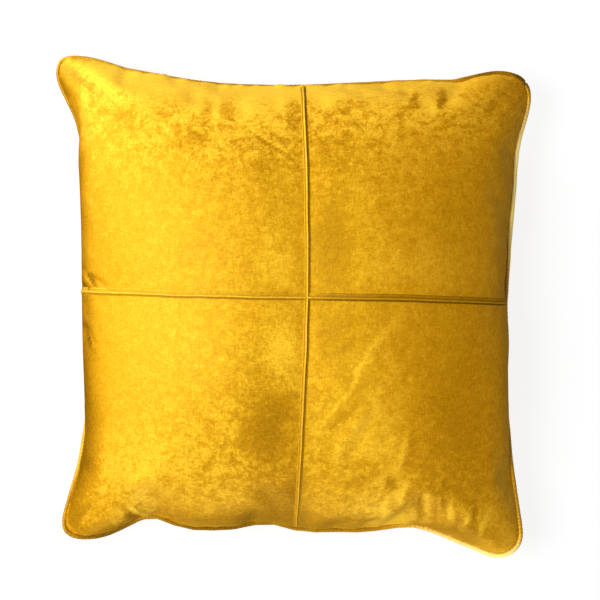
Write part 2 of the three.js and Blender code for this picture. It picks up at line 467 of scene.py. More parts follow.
# %% Creases
# Each row: start x, start y, end x, end y, half width, height; a negative height is a groove.
CREASES = (
    (-43, 156, -3, 129, 3.5, -0.9),
    (39, -144, 77, -77, 6.0, 1.0),
    (33, -110, 68, -73, 5.0, 0.8),
    (49, -148, 83, -90, 6.0, -0.8),
    (87, -199, 115, -164, 5.0, 1.1),
    (113, -103, 100, -150, 3.0, 0.7),
    (83, -120, 96, -115, 3.5, -0.7),
    (103, -64, 112, -61, 3.0, -0.6),
    (49, -156, 56, -197, 5.0, 1.0),
    (124, -168, 124, -198, 2.6, -0.7),
    (145, -168, 145, -198, 2.6, -0.7),
    (174, -178, 173, -206, 2.6, -0.9),
    (-152, -190, -128, -207, 3.0, -1.6),
    (-150, -182, -122, -203, 2.6, 1.8),
    (-189, -18, -176, -42, 2.4, -1.6),
    (-188, -25, -182, -43, 2.4, 0.6),
    (-191, 29, -180, 13, 2.8, 1.5),
    (-188, 27, -165, 12, 2.6, -2.2),
    (-195, 18, -185, 11, 2.4, -1.6),
    (-188, 7, -186, -18, 2.6, -0.9),
)
# A crease fades over this share of its length at each end, and between these distances from the hem.
CREASE_FADE = 0.3
SEWN_MARGIN = (2.0, 5.0)


def crease(points, normals, row):
    """How far one crease moves each point, along its normal."""
    start, end = np.array(row[0:2]), np.array(row[2:4])
    half_width, height = row[4:6]
    run = end - start
    share = np.clip((points[:, :2] - start) @ run / (run @ run), 0, 1)
    off = np.linalg.norm(points[:, :2] - start - share[:, None] * run, axis=1)
    fade = smooth_step(share, 0, CREASE_FADE) * smooth_step(1 - share, 0, CREASE_FADE)
    front = normals[:, 2] > 0
    return front * fade * height * np.exp(-((off / half_width) ** 2))


def nearest_hem(points):
    """For each point the nearest place of the hem and how far away it is."""
    tree = KDTree(len(HEM_LINE))
    for index, place in enumerate(HEM_LINE):
        tree.insert(place, index)
    tree.balance()
    found = [tree.find(point) for point in points]
    return np.array([index for _, index, _ in found]), np.array([away for _, _, away in found])


def normals_in(mesh):
    """The normal at each point of a mesh."""
    flat = np.empty(len(mesh.vertices) * 3)
    mesh.vertices.foreach_get("normal", flat)
    return flat.reshape(-1, 3)


cover_points, cover_normals = points_in(cover.data), normals_in(cover.data)
lift = sum(crease(cover_points, cover_normals, row) for row in CREASES)
lift = lift * smooth_step(nearest_hem(cover_points)[1], *SEWN_MARGIN)
set_points(cover.data, cover_points + lift[:, None] * cover_normals)
print("creases: %d, from %.1f to %.1f mm" % (len(CREASES), lift.min(), lift.max()))

# %% [markdown]
# A filled panel rolls out over its seam in small waves, so that it hides the inner part of the piping. More
# pressure in the simulation would roll all of the edge alike, but on this cushion the roll changes along the
# seam. So the points near the hem are moved outwards, by what a short table gives for each bearing.

# %% Rolled edge
# Each row: a bearing from the x axis in degrees, seen from the middle, and how far the panel rolls out there.
ROLL_OUT = (
    (-160, 2.4), (-142, 1.0), (-134, 0.6), (-126, 0.8), (-118, 1.6), (-112, 0.8), (-100, 0.8), (-96, 2.2),
    (-91, 2.2), (-87, 1.0), (-70, 1.0), (-60, 1.2), (-54, 0.4), (-45, 0.4), (-38, 0.6), (-30, 2.0), (-5, 2.2),
    (5, 0.3), (38, 0.2), (43, 1.4), (54, 1.2), (60, 2.6), (75, 3.2), (120, 3.2), (135, 2.4), (150, 2.4),
)
# The share by which waves of this length make the roll larger and smaller.
ROLL_WAVE = 0.7
WAVE_LENGTH = 9.0
# How much the roll rises for each millimetre outwards.
ROLL_LIFT = 0.5
# The roll grows over the first of these distances from the hem, and fades over the second.
ROLL_START = 1.5
ROLL_REACH = 8.0

cover_points = points_in(cover.data)
hem_index, hem_away = nearest_hem(cover_points)
hem_bearing = -180 + 360 * hem_index / len(HEM_LINE)
roll_bearing, roll_size = np.array(ROLL_OUT).T
roll = np.interp(hem_bearing, roll_bearing, roll_size, period=360)
hem_wave = np.array([noise.noise(Vector(place) / WAVE_LENGTH) for place in HEM_LINE])
roll *= 1 + ROLL_WAVE * hem_wave[hem_index]
roll *= smooth_step(hem_away, 0, ROLL_START) * np.exp(-((hem_away / ROLL_REACH) ** 2))
roll *= cover_points[:, 2] > HEM_LINE[hem_index, 2]
outward = (SEAM - HEM_LINE)[hem_index] / HEM + (0, 0, ROLL_LIFT)
set_points(cover.data, cover_points + roll[:, None] * outward)
print("edge rolled out by up to %.1f mm" % roll.max())

# %% [markdown]
# The piping is a cord in a strip of velvet cut on the bias. It runs along the whole seam, so a tube swept
# along the measured seam makes it. A plain tube looks like plastic, so the strip gets the fine slanting
# wrinkles that bias cloth makes round a cord, and the cord rises and dips a little where the seam puckers.

# %% Piping
PIPING_RADIUS = 2.4
PIPING_STEP = 1.5
PIPING_FACETS = 16
WRINKLE_PITCH = 3.4
WRINKLE_DEPTH = 0.55
# How far the cord strays sideways and upwards, and the length of those waves.
CORD_ASIDE = 0.35
ASIDE_LENGTH = 22
CORD_RISE = 0.5
RISE_LENGTH = 30
# How far the wrinkles crowd and spread, in radians, the share by which their depth changes, and the length
# of those waves.
WRINKLE_CROWDING = 5
CROWDING_LENGTH = 26
DEPTH_CHANGE = 0.4
DEPTH_LENGTH = 9
FEWEST_WAVES = 8


def wander(travel, pitch, seed):
    """A smooth random wave along a line, between -1 and 1, whose ends meet on a closed line."""
    knots = max(FEWEST_WAVES, round(travel[-1] / pitch))
    heights = np.random.default_rng(seed).uniform(-1, 1, knots)
    place = travel / travel[-1] * knots
    low = np.floor(place).astype(int)
    share = place - low
    share = share * share * (3 - 2 * share)
    return heights[low % knots] * (1 - share) + heights[(low + 1) % knots] * share


def ring_faces(rings, facets, closed):
    """Quads between rings of points, the last ring joined to the first where closed."""
    faces = []
    for ring in range(rings if closed else rings - 1):
        here, there = ring * facets, (ring + 1) % rings * facets
        for k in range(facets):
            j = (k + 1) % facets
            faces.append((here + k, here + j, there + j, there + k))
    return faces


def piping_points():
    """Rings of points round the seam, and how hollow the strip is at each point, from 0 to 1."""
    closed = np.vstack([SEAM, SEAM[:1]])
    count = round(seam_length / PIPING_STEP)
    middle = evenly(closed, count + 1)[:-1]
    travel = np.arange(count + 1) * seam_length / count
    ahead = np.roll(middle, -1, 0) - np.roll(middle, 1, 0)
    ahead /= np.linalg.norm(ahead, axis=1, keepdims=True)
    up = np.array([0, 0, 1.0])
    out = np.cross(ahead, up)
    out /= np.linalg.norm(out, axis=1, keepdims=True)
    over = np.cross(out, ahead)
    middle = middle + CORD_ASIDE * wander(travel, ASIDE_LENGTH, seed=1)[:-1, None] * out
    middle = middle + CORD_RISE * wander(travel, RISE_LENGTH, seed=2)[:-1, None] * over
    turn = np.arange(PIPING_FACETS) * 2 * math.pi / PIPING_FACETS
    wave = 2 * math.pi * travel[:-1, None] / WRINKLE_PITCH + turn[None]
    wave = wave + WRINKLE_CROWDING * wander(travel, CROWDING_LENGTH, seed=3)[:-1, None]
    depth_wave = wander(travel, DEPTH_LENGTH, seed=4)[:-1, None]
    depth = WRINKLE_DEPTH * (1 - DEPTH_CHANGE + DEPTH_CHANGE * depth_wave)
    hollow = 0.5 + 0.5 * np.cos(wave)
    radius = PIPING_RADIUS - depth * hollow
    sides = np.cos(turn)[None, :, None] * out[:, None] + np.sin(turn)[None, :, None] * over[:, None]
    return (middle[:, None] + radius[..., None] * sides).reshape(-1, 3), hollow.reshape(-1)


rings, piping_hollow = piping_points()
ring_count = len(rings) // PIPING_FACETS
piping = mesh_object("piping_cord", rings, ring_faces(ring_count, PIPING_FACETS, closed=True))
print("piping: %d rings over %.0f mm" % (ring_count, seam_length))

# %% [markdown]
# A tuck is a fold of the panels' own velvet along a join: a narrow pressed band, then a ridge that leans over
# its own stitches, and a sunken foot in its shade. One section is swept along the knots of the net that lie
# on the join, and each corner of it is laid on the nearest place of the cover, so that a tuck dips and bends
# with the cloth and runs down into the seam. It leans down, or to the right. The nap of its corners paints
# light and shade: painted shade at the borders of the band, under the ridge and on the foot, where it stands
# for the fold's shadow, and a painted highlight along the top of the ridge.

# %% Tucks
STEPS_PER_KNOT = 3
# The corner of the section, counted from 0, that the stitches run along.
STITCH_CORNER = 3
# Near the seam a tuck sinks to this share of its height, over this length.
TUCK_LOW = 0.1
TUCK_TAPER = 16.0
# Steps along a join: a tuck stops two steps short of the hem.
START = 2
MIDDLE = CELLS * STEPS_PER_KNOT
END = (KNOTS - 1) * STEPS_PER_KNOT - START
# Past the crossing, between these places along x, painted shade of the strength below comes onto the
# horizontal tuck, over the half of it that lies further from the lights.
FAR_HALF = (18.0, 40.0)
FAR_HALF_PAINTED_SHADE = 0.35
# Painted shade at the borders of the pressed band, as nap for each millimetre of its width.
BORDER_PAINTED_SHADE = -0.09
# The pressed band is darker the narrower it is: the nap for each millimetre, and that of no width.
BAND_NAP = 0.05
PRESSED_NAP = -0.3
# How far a tuck strays sideways, the share by which its height changes, and the length of those waves.
TUCK_SWAY = 0.25
SWAY_LENGTH = 24
TUCK_HEAVE = 0.12
HEAVE_LENGTH = 14
# Passes that smooth the line of a join, and the line of each corner of the section.
JOIN_PASSES = 6
CORNER_PASSES = 3
COVER_SURFACE = surface_of(cover.data)


def tuck_section(band):
    """Corners of a tuck's section: across the join, towards the side that it leans to, up, and the nap, which
    holds painted shade and a painted highlight.
    """
    shade = BORDER_PAINTED_SHADE * band
    flat = BAND_NAP * band + PRESSED_NAP
    pressed_band = [(-band - 0.5, -0.4, shade), (-band - 0.2, 0.02, shade), (-band + 0.2, 0.16, flat),
                    (-(band + 1.4) / 2, 0.2, flat), (-1.6, 0.12, flat), (-1.3, 0.05, shade)]
    # The ridge's nap is a painted highlight along its top and painted shade under its overhang, and the
    # foot's nap is the fold's painted shadow.
    ridge = [(-1.05, 0.45, -0.1), (-0.75, 0.9, 0.05), (-0.25, 1.25, 0.12), (0.3, 1.25, 0.12),
             (0.75, 0.95, 0.0), (0.9, 0.6, -0.4), (0.8, 0.25, -0.6)]
    foot = [(1.0, 0.1, -0.6), (2.0, 0.06, -0.6), (2.6, 0.02, -0.25), (2.8, -0.4, -0.2)]
    return np.array(pressed_band + ridge + foot)


def blur_line(line, passes):
    """Smooths a line of points, keeping its ends."""
    for _ in range(passes):
        line[1:-1] = 0.25 * line[:-2] + 0.5 * line[1:-1] + 0.25 * line[2:]
    return line


def along_join(values, join):
    """Values of the cover's points along a join, with steps between its knots."""
    grid = np.arange(KNOTS * KNOTS).reshape(KNOTS, KNOTS)
    knots = grid[CELLS] if join == "across" else grid[:, CELLS]
    place = np.linspace(0, KNOTS - 1, (KNOTS - 1) * STEPS_PER_KNOT + 1)
    columns = [np.interp(place, np.arange(KNOTS), values[knots, axis]) for axis in range(3)]
    return blur_line(np.stack(columns, axis=1), JOIN_PASSES)


def unit(ways):
    """Ways scaled to a length of one."""
    return ways / np.linalg.norm(ways, axis=1, keepdims=True)


def laid_on_cover(points):
    """The nearest places of the cover to some points, smoothed along their line."""
    nearest = [COVER_SURFACE.find_nearest(Vector(point))[0] for point in points]
    return blur_line(np.array(nearest), CORNER_PASSES)


def tuck(name, join, first, last, band, seed):
    """Sweeps the section along a join, and returns the fold and the line where its stitches go."""
    run = slice(first, last + 1)
    line = along_join(points_in(cover.data), join)[run]
    up = unit(along_join(normals_in(cover.data), join)[run])
    onward = np.gradient(line, axis=0)
    across = unit(np.cross(onward, up))
    travel = np.concatenate([[0], np.cumsum(np.linalg.norm(np.diff(line, axis=0), axis=1))])
    sway = TUCK_SWAY * wander(travel, SWAY_LENGTH, seed)
    tall = 1 + TUCK_HEAVE * wander(travel, HEAVE_LENGTH, seed + 1)
    if first == START:
        tall *= TUCK_LOW + (1 - TUCK_LOW) * smooth_step(travel, 0, TUCK_TAPER)
    if last == END:
        tall *= TUCK_LOW + (1 - TUCK_LOW) * smooth_step(travel[-1] - travel, 0, TUCK_TAPER)
    section = tuck_section(band)
    corners = [laid_on_cover(line + (aside + sway)[:, None] * across) + (rise * tall)[:, None] * up
               for aside, rise, _ in section]
    points = np.stack(corners, axis=1)
    facets = len(section)
    faces = ring_faces(len(line), facets, closed=False)
    faces.append(tuple(range(facets)))
    faces.append(tuple(reversed(range((len(line) - 1) * facets, len(line) * facets))))
    made = mesh_object(name, points.reshape(-1, 3), faces)
    made.data.flip_normals()
    far_half = smooth_step(line[:, 0], *FAR_HALF)
    # The section's painted light and shade, with painted shade over the far half of the horizontal tuck, go
    # into the nap.
    keep_on_points(made.data, "nap", (section[:, 2][None] - FAR_HALF_PAINTED_SHADE * far_half[:, None]).ravel())
    print("%s: %.0f mm long" % (name, travel[-1]))
    return made, points[:, STITCH_CORNER]


JOINS = {
    "tuck_horizontal": tuck("tuck_fold_horizontal", "across", START, END, band=4.2, seed=11),
    "tuck_upper": tuck("tuck_fold_upper", "upward", MIDDLE, END, band=2.6, seed=21),
    "tuck_lower": tuck("tuck_fold_lower", "upward", START, MIDDLE, band=2.6, seed=31),
}

# %% [markdown]
# The finishes are node trees, built in code so that every size and colour can be read here. Two helpers keep
# that short: one turns a colour as it is picked from a chart into what a socket takes, and one adds a node
# with its settings and links.


# %% Colours and nodes
def linear(code):
    """An sRGB hex colour as the linear colour that sockets take."""
    channels = [int(code[k:k + 2], 16) / 255 for k in (1, 3, 5)]
    return [c / 12.92 if c <= 0.04045 else ((c + 0.055) / 1.055) ** 2.4 for c in channels] + [1.0]


def add_node(tree, kind, inputs=None, **settings):
    """Adds a node with its settings; an input is a value or a socket to link."""
    node = tree.nodes.new(kind)
    for name, value in settings.items():
        setattr(node, name, value)
    for key, value in (inputs or {}).items():
        if isinstance(value, bpy.types.NodeSocket):
            tree.links.new(value, node.inputs[key])
        else:
            node.inputs[key].default_value = value
    return node


print("the mid grey #808080 is %.3f in linear light" % linear("#808080")[0])

# %% [markdown]
# Hands and stuffing leave brush marks in the pile: where it lies towards the light the velvet is paler, and
# where it lies away it is darker. The marks that this cushion shows are brushed on as strokes with ragged
# ends, into an attribute of the cover's points, so that they stay with the cloth from every side. Painted
# light and shade go into the same attribute as strokes: painted shade along the edges and in grooves, and
# painted highlights along the top, on ridges and as a faint sheen.

# %% Brush marks of the nap, with painted light and shade
# Each row: middle x, middle y, half length, half width, the stroke's angle in degrees, and its strength,
# where a negative one is darker. Most are brush marks of the nap; the broad, faint pale rows that lie along
# the top and at the lower left are painted sheen.
STROKES = (
    (-153, 168, 13, 9, 0, -0.1), (-96, 145, 12, 9, 0, -0.1), (-26, 152, 14, 11, 20, -0.05),
    (-27, 118, 15, 12, 90, -0.06), (-70, 178, 16, 4, 95, 0.25), (-40, 182, 15, 7, 85, 0.2),
    (-11, 189, 9, 5, 100, 0.2), (-61, 181, 16, 6, 78, -0.12), (3, 174, 18, 6, -62, -0.12),
    (-82, 183, 9, 5, 80, -0.1), (-92, 179, 10, 5, 90, 0.15),
    (-11, 37, 20, 13, 90, 0.12), (42, 148, 32, 18, 80, -0.05), (36, 55, 45, 16, 90, -0.2),
    (116, 40, 54, 20, 0, 0.1), (29, 193, 8, 8, 0, 0.2), (110, 190, 8, 4, 90, -0.2),
    (124, 185, 9, 5, 100, 0.25), (133, 195, 7, 4, 90, -0.3), (147, 195, 8, 5, 80, 0.25),
    (-95, 172, 100, 50, 0, 0.07), (-22, 180, 25, 25, 0, 0.07), (110, 185, 110, 40, 0, 0.08),
    (-140, -150, 70, 55, 0, 0.1),
    (-5, -40, 32, 15, 95, 0.2), (-15, -106, 38, 20, 90, -0.2), (8, -168, 24, 6, 85, -0.25),
    (44, -22, 24, 18, 60, -0.12), (62, -62, 56, 4, 58, 0.2), (66, -105, 39, 5, 58, 0.18),
    (52, -84, 26, 5, 58, -0.2), (83, -127, 52, 22, 75, 0.12), (150, -104, 60, 34, 90, -0.1),
    (106, -134, 16, 3, 72, 0.2), (112, -130, 22, 4, 75, -0.1), (105, -167, 12, 3, 85, 0.3),
    (96, -161, 8, 2.5, 85, -0.25), (93, -182, 10, 3, 80, 0.25), (185, -203, 30, 22, 0, 0.13),
    (70, -152, 16, 12, 60, -0.15), (-80, 49, 25, 18, 0, -0.08),
)
# These are shaken half as much, so they keep straighter. Most of them paint light and shade: painted shade
# along the left, right and lower edges and a painted highlight along the top edge; painted shade in the
# grooves and painted highlights on the ridges of the folds at the left end of the horizontal join and beside
# the lower left ear, and of the pressed line near the top; and narrow streaks beside the lower right ear,
# partly streaks of the nap and partly painted shade in the short grooves there.
PAINTED_LIGHT_AND_SHADE_STROKES = (
    (-197, 108, 75, 6, 93, -0.7), (-192, -8, 60, 9, 90, -0.5), (-191, -108, 80, 7, 87, -0.5),
    (-183, -76, 40, 10, 88, -0.4), (-183, -133, 45, 11, 84, -0.45), (-203, -182, 40, 10, 76, -0.6),
    (-181, -18, 22, 9, 92, -0.15), (-181, 20, 13, 2.2, -48, -1.2), (-189, 14, 5, 2, -35, -0.6),
    (-187, 23, 9, 2.5, -55, 0.4), (-184, -33, 13, 2.2, -62, -1.1), (-188, -36, 9, 2, -66, 0.35),
    (-150, 212, 75, 12, -12, 0.65), (-215, 190, 50, 5, 104, -0.5), (-212, 215, 25, 18, -45, -0.35),
    (-196, 182, 26, 7, 100, 0.3), (-150, 191, 22, 12, -15, 0.15),
    (-5, 205, 75, 13, 0, 0.5), (140, 216, 35, 9, 8, 0.4), (210, 97, 90, 12, 84, -0.22),
    (207, -76, 85, 10, 93, -0.18), (209, -160, 50, 12, 97, 0.1), (212, -220, 15, 10, -45, 0.2),
    (-137, -191.5, 14, 1.8, -37, 0.4), (-141, -196, 11, 4, -37, -0.3), (-25, -198, 75, 11, -1, -0.35),
    (6, -190, 16, 8, 0, -0.25), (60, -196, 30, 9, 0, -0.12), (134, -206, 18, 7, -8, -0.3),
    (-166, -212, 22, 6, 12, -0.3),
    (100, -200, 28, 10, 0, 0.35), (172, -206, 22, 8, -15, -0.4), (-5, -174, 22, 12, 0, -0.25),
    (124, -184, 14, 2, 88, -0.4), (130, -180, 13, 1.8, 92, 0.25), (137, -184, 12, 1.8, 88, -0.25),
    (145, -180, 11, 2, 90, -0.35), (151, -182, 11, 1.8, 90, 0.25), (159, -196, 8, 2, 90, -0.3),
    (166, -195, 8, 1.8, 80, 0.25), (174, -191, 13, 2, 95, -0.45), (183, -199, 13, 2.5, 60, 0.3),
    (-21, 146, 26, 1.4, -33, -0.3), (-20, 148.5, 22, 1.5, -33, 0.15),
)
# The piping is cut on the bias, so its pile turns along the seam, and its strokes are partly that and partly
# painted light and shade: a painted highlight on the upper right and at the lower right ear, and painted
# shade along the top, most of the left and most of the bottom.
PIPING_NAP_AND_PAINTED_LIGHT = (
    (212, 110, 100, 16, 95, 1.2), (213, 217, 14, 12, -45, -1.1), (178, 226, 34, 14, 0, -0.9),
    (-20, 210, 165, 14, 0, -0.5),
    (-206, 152, 75, 16, 85, -0.7), (-232, 205, 40, 12, 100, -0.9), (-193, 2, 110, 16, 90, -0.5),
    (-200, -145, 35, 14, 80, 0.2), (-212, -188, 25, 12, 76, -0.8), (-171, -220, 40, 14, 10, -1.0),
    (-60, -208, 90, 14, 0, -1.0), (70, -210, 50, 14, 0, -0.4), (150, -213, 40, 14, -15, 0.5),
    (198, -230, 30, 14, 0, 0.9), (219, -180, 45, 12, 95, -0.1),
)
# Painted shade in the hollows of the piping's wrinkles and a painted highlight on their tops: the difference
# in nap between them.
HOLLOW_SHADE = 0.3
# Each row: the size of a shake in plan, and how far it goes.
SHAKES = ((22.0, 7.0), (6.0, 2.5))
# A vector of noise starts from the clock unless it is seeded, and every run has to give the same strokes.
SHAKE_SEED = 3
# Zones where the pile is rumpled, in the same columns, which add to the share of rumple that is everywhere.
RUMPLED_ZONES = (
    (-35, 165, 125, 50, 0, 1.1), (115, 190, 105, 32, 0, 0.95), (-40, 85, 60, 60, 0, 0.05),
    (60, 100, 50, 60, 0, 0.1), (105, -180, 115, 45, 0, 0.7), (65, -110, 50, 60, 0, 0.1),
    (-80, -165, 125, 50, 0, 1.0), (-20, -95, 45, 60, 0, 0.45), (-188, 0, 210, 14, 90, 0.7),
    (-190, 190, 60, 50, 0, 0.15), (-185, -200, 60, 45, 0, 0.6),
)
SMOOTH_SHARE = 0.45


def ragged(points):
    """Points shaken a little in plan, so that strokes drawn on them have ragged ends."""
    plan = points[:, :2].copy()
    noise.seed_set(SHAKE_SEED)
    for size, most in SHAKES:
        plan += most * np.array([noise.noise_vector(Vector(point) / size) for point in points])[:, :2]
    return plan


def stroke(plan, row):
    """How strongly one stroke marks each point of the plan."""
    x, y, half_length, half_width, angle, strength = row
    turn = math.radians(angle)
    along = (plan[:, 0] - x) * math.cos(turn) + (plan[:, 1] - y) * math.sin(turn)
    aside = (plan[:, 1] - y) * math.cos(turn) - (plan[:, 0] - x) * math.sin(turn)
    return strength * np.exp(-((along / half_length) ** 2) - (aside / half_width) ** 2)


cover_points, cover_normals = points_in(cover.data), normals_in(cover.data)
shaken_plan = ragged(cover_points)
on_front = cover_normals[:, 2] > 0
nap = on_front * sum(stroke(shaken_plan, row) for row in STROKES)
steadier_plan = (shaken_plan + cover_points[:, :2]) / 2
above_seam = cover_points[:, 2] > SEAM_HEIGHT
# The edge and fold strokes add painted light and shade above the seam.
nap += sum(stroke(steadier_plan, row) for row in PAINTED_LIGHT_AND_SHADE_STROKES) * above_seam
rumpled = SMOOTH_SHARE + on_front * sum(stroke(shaken_plan, row) for row in RUMPLED_ZONES)
keep_on_points(cover.data, "nap", nap)
keep_on_points(cover.data, "rumpled", rumpled)
piping_plan = points_in(piping.data)[:, :2]
piping_nap_and_painted_light = sum(stroke(piping_plan, row) for row in PIPING_NAP_AND_PAINTED_LIGHT)
# Painted shade in the hollows of the wrinkles and a painted highlight on their tops are added to the piping's
# strokes.
keep_on_points(piping.data, "nap", piping_nap_and_painted_light + HOLLOW_SHADE * (0.5 - piping_hollow))
print("nap from %.2f to %.2f in %d strokes" % (nap.min(), nap.max(), len(STROKES + PAINTED_LIGHT_AND_SHADE_STROKES)))

# %% [markdown]
# Velvet is a short cut pile on a woven ground. Its fibres carry a dyed gloss, so the side of the cushion that
# faces the light turns lemon and the far side deep amber, and where the pile has been brushed another way the
# tone shifts in soft patches. A pile could be grown as hair, but no fibre shows at this distance. So brush
# marks, the painted light and shade that share their attribute, patches and tufts add up to one tone, and
# that tone sets the dye, the gloss and the lean.

# %% Gold velvet
# A real tuft of pile is a few tenths of a millimetre wide, too fine to show, so tufts are drawn coarser.
TUFT_SIZE = 1.4
TUFT_TONE = 0.12
TUFT_LEAN = 0.45
# Patches of crushed pile, and short dashes along the warp and the weft of the ground.
PATCH_SIZE = 8.5
PATCH_TONE = 0.12
DASH_LENGTH = 5.0
DASH_WIDTH = 1.4
DASH_TONE = 0.08
# The part of a noise that its tone is spread over: wide for soft tufts and dashes, narrow for patches.
SOFT_SPAN = (0.3, 0.7)
PATCH_SPAN = (0.38, 0.62)
# How far the nap attribute, brush marks and painted light and shade alike, shifts the edges of the patches,
# and how far it shifts the tone.
MARKS_AND_PAINTED_LIGHT_ON_PATCHES = 0.7
MARKS_AND_PAINTED_LIGHT_ON_TONE = 0.6
# The strength of tufts and dashes on smooth pile, and what rumple adds to it.
FINE_SHARE = 0.75
RUMPLE_SHARE = 0.3
# Which way the pile leans at a tone of 1.
LEAN_WAY = (-0.5, 0.18, 0)
# The tones of pile that leans away, stands up and leans to the light, for the three colours of a dye; painted
# shade in the nap attribute also reaches the darkest colour, and a painted highlight the palest.
TONES = (-1.0, 0.0, 0.5)
# Pile that leans away shows the dyed sides of its fibres, whose gloss has the colour of the dye, as a metal's
# has: a tone, and how metallic it is there.
DEEP_TONE = -0.7
DEEP_SHINE = 0.85
# Two tones, and the roughness at each.
ROUGH_TONES = (-0.5, 0.5)
ROUGHNESS = (0.66, 0.54)
FIBRE_STRENGTH = 0.8
FIBRE_RELIEF = 0.25
# Polyester has an IOR of about 1.6. The higher one matches the strong gloss of this pile.
PILE_IOR = 2.1


def velvet(name, dyes, shine, gloss, gloss_tint, sheen):
    """Polyester velvet: a dyed, glossy cut pile that leans in patches. A piece with no rumple is smooth."""
    material = bpy.data.materials.new(name)
    material.use_nodes = True
    tree = material.node_tree
    tree.nodes.clear()
    place = add_node(tree, "ShaderNodeTexCoord").outputs["Object"]
    # The nap attribute carries brush marks and painted light and shade.
    marks_and_painted_light = add_node(tree, "ShaderNodeAttribute", attribute_name="nap").outputs["Fac"]
    rumpled = add_node(tree, "ShaderNodeAttribute", attribute_name="rumpled").outputs["Fac"]
    patches = add_node(tree, "ShaderNodeTexNoise", {
        "Vector": place, "Scale": 1 / (PATCH_SIZE * MM), "Detail": 6.0, "Roughness": 0.78, "Distortion": 0.3})
    marked_and_painted = add_node(tree, "ShaderNodeMath", {0: marks_and_painted_light, 1: MARKS_AND_PAINTED_LIGHT_ON_PATCHES, 2: patches.outputs["Fac"]},
                      operation="MULTIPLY_ADD")
    crushed = add_node(tree, "ShaderNodeMapRange", {
        "Value": marked_and_painted.outputs[0], "From Min": PATCH_SPAN[0], "From Max": PATCH_SPAN[1],
        "To Min": -PATCH_TONE, "To Max": PATCH_TONE}, interpolation_type="SMOOTHSTEP")
    tufts = add_node(tree, "ShaderNodeTexNoise", {
        "Vector": place, "Scale": 1 / (TUFT_SIZE * MM), "Detail": 2.0, "Roughness": 0.8})
    fine = add_node(tree, "ShaderNodeMapRange", {
        "Value": tufts.outputs["Fac"], "From Min": SOFT_SPAN[0], "From Max": SOFT_SPAN[1],
        "To Min": -TUFT_TONE, "To Max": TUFT_TONE}, clamp=False)
    for size in ((DASH_LENGTH, DASH_WIDTH), (DASH_WIDTH, DASH_LENGTH)):
        run = add_node(tree, "ShaderNodeMapping", {
            "Vector": place, "Scale": (1 / (size[0] * MM), 1 / (size[1] * MM), 1 / (DASH_WIDTH * MM))})
        dashes = add_node(tree, "ShaderNodeTexNoise", {
            "Vector": run.outputs[0], "Scale": 1.0, "Detail": 2.0, "Roughness": 0.6})
        dash = add_node(tree, "ShaderNodeMapRange", {
            "Value": dashes.outputs["Fac"], "From Min": SOFT_SPAN[0], "From Max": SOFT_SPAN[1],
            "To Min": -DASH_TONE, "To Max": DASH_TONE}, clamp=False)
        fine = add_node(tree, "ShaderNodeMath", {0: fine.outputs[0], 1: dash.outputs[0]}, operation="ADD")
    ruffle = add_node(tree, "ShaderNodeMath", {0: rumpled, 1: RUMPLE_SHARE, 2: FINE_SHARE},
                      operation="MULTIPLY_ADD")
    brushed_and_painted = add_node(tree, "ShaderNodeMath", {0: marks_and_painted_light, 1: MARKS_AND_PAINTED_LIGHT_ON_TONE}, operation="MULTIPLY")
    patched = add_node(tree, "ShaderNodeMath", {0: crushed.outputs[0], 1: rumpled, 2: brushed_and_painted.outputs[0]},
                       operation="MULTIPLY_ADD")
    tone = add_node(tree, "ShaderNodeMath", {0: fine.outputs[0], 1: ruffle.outputs[0], 2: patched.outputs[0]},
                    operation="MULTIPLY_ADD").outputs[0]
    share = add_node(tree, "ShaderNodeMapRange", {"Value": tone, "From Min": TONES[0], "From Max": TONES[2]})
    colour = add_node(tree, "ShaderNodeValToRGB", {"Fac": share.outputs[0]})
    stops = colour.color_ramp.elements
    stops.new((TONES[1] - TONES[0]) / (TONES[2] - TONES[0]))
    for stop, code in zip(stops, dyes):
        stop.color = linear(code)
    dyed = add_node(tree, "ShaderNodeMapRange", {
        "Value": tone, "From Min": DEEP_TONE, "From Max": 0.0, "To Min": DEEP_SHINE, "To Max": shine})
    rough = add_node(tree, "ShaderNodeMapRange", {
        "Value": tone, "From Min": ROUGH_TONES[0], "From Max": ROUGH_TONES[1],
        "To Min": ROUGHNESS[0], "To Max": ROUGHNESS[1]})
    upright = add_node(tree, "ShaderNodeNewGeometry").outputs["Normal"]
    lean = add_node(tree, "ShaderNodeVectorMath", {0: LEAN_WAY, "Scale": tone}, operation="SCALE")
    leant = add_node(tree, "ShaderNodeVectorMath", {0: upright, 1: lean.outputs[0]}, operation="ADD")
    stray = add_node(tree, "ShaderNodeVectorMath", {
        0: tufts.outputs["Color"], 1: (TUFT_LEAN,) * 3, 2: leant.outputs[0]}, operation="MULTIPLY_ADD")
    settled = add_node(tree, "ShaderNodeVectorMath", {
        0: stray.outputs[0], 1: (TUFT_LEAN / 2,) * 3}, operation="SUBTRACT")
    pile_way = add_node(tree, "ShaderNodeVectorMath", {0: settled.outputs[0]}, operation="NORMALIZE")
    fibres = add_node(tree, "ShaderNodeBump", {
        "Height": tufts.outputs["Fac"], "Strength": FIBRE_STRENGTH, "Distance": FIBRE_RELIEF * MM,
        "Normal": pile_way.outputs[0]})
    shader = add_node(tree, "ShaderNodeBsdfPrincipled", {
        "Base Color": colour.outputs["Color"], "Metallic": dyed.outputs[0], "Roughness": rough.outputs[0],
        "IOR": PILE_IOR, "Specular IOR Level": gloss, "Specular Tint": linear(gloss_tint),
        "Sheen Weight": sheen, "Sheen Roughness": 0.4, "Sheen Tint": linear("#ffdc3c"),
        "Coat Weight": 0.04, "Coat Roughness": 0.4, "Normal": fibres.outputs[0]})
    add_node(tree, "ShaderNodeOutputMaterial", {"Surface": shader.outputs[0]})
    return material


